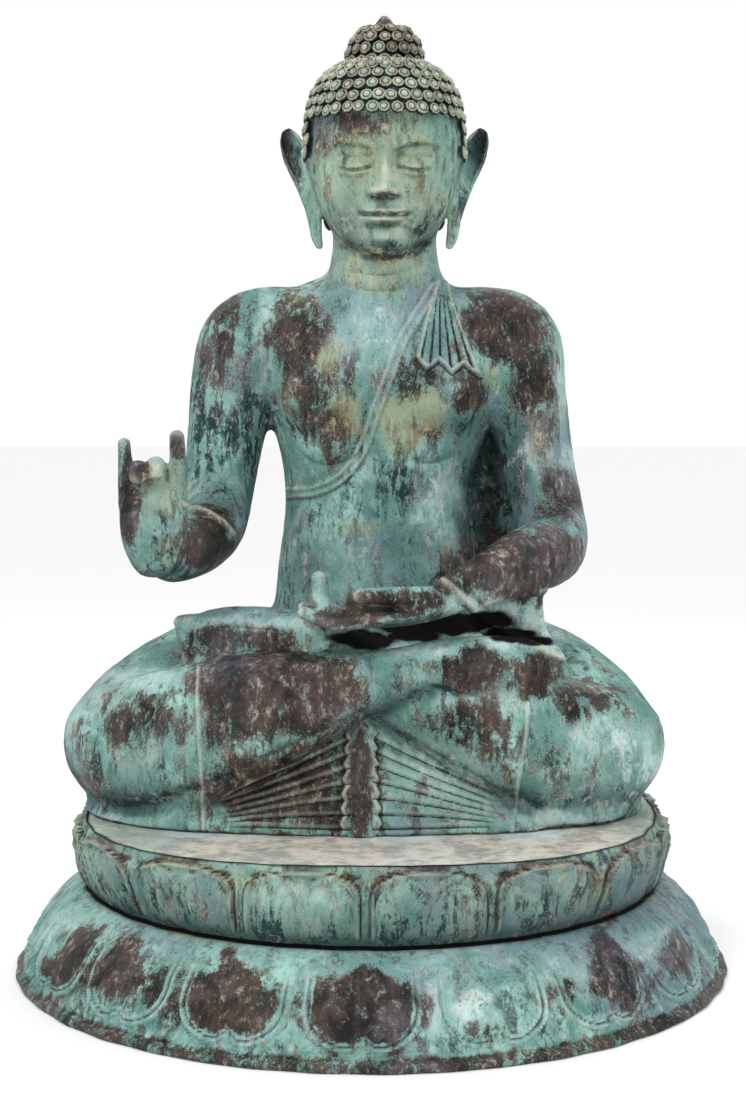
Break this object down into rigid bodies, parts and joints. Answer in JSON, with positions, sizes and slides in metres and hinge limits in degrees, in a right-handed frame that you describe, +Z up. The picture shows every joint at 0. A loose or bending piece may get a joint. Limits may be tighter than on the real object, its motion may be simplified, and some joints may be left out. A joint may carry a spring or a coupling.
{
  "type": "seated buddha statue",
  "caption": "Cross-legged bronze figure in a one-shouldered robe, one hand raised and one in the lap, resting by its flat underside on a double lotus plinth",
  "frame": {"origin": "centre of the plinth's flat underside, on the ground", "axes": "+Z up along the height, -Y the way the figure faces, +X to a viewer's right when facing the figure"},
  "size_m": [1.512, 1.512, 2],
  "materials": {
    "figure_bronze": "cast bronze weathered to verdigris, with bare purplish brown patches",
    "plinth_bronze": "cast bronze weathered to pale verdigris, with rusty edges and a worn beige top"
  },
  "bodies": {
    "root": {"seated_figure": "figure_bronze", "lotus_plinth": "plinth_bronze"}
  },
  "joints": []
}
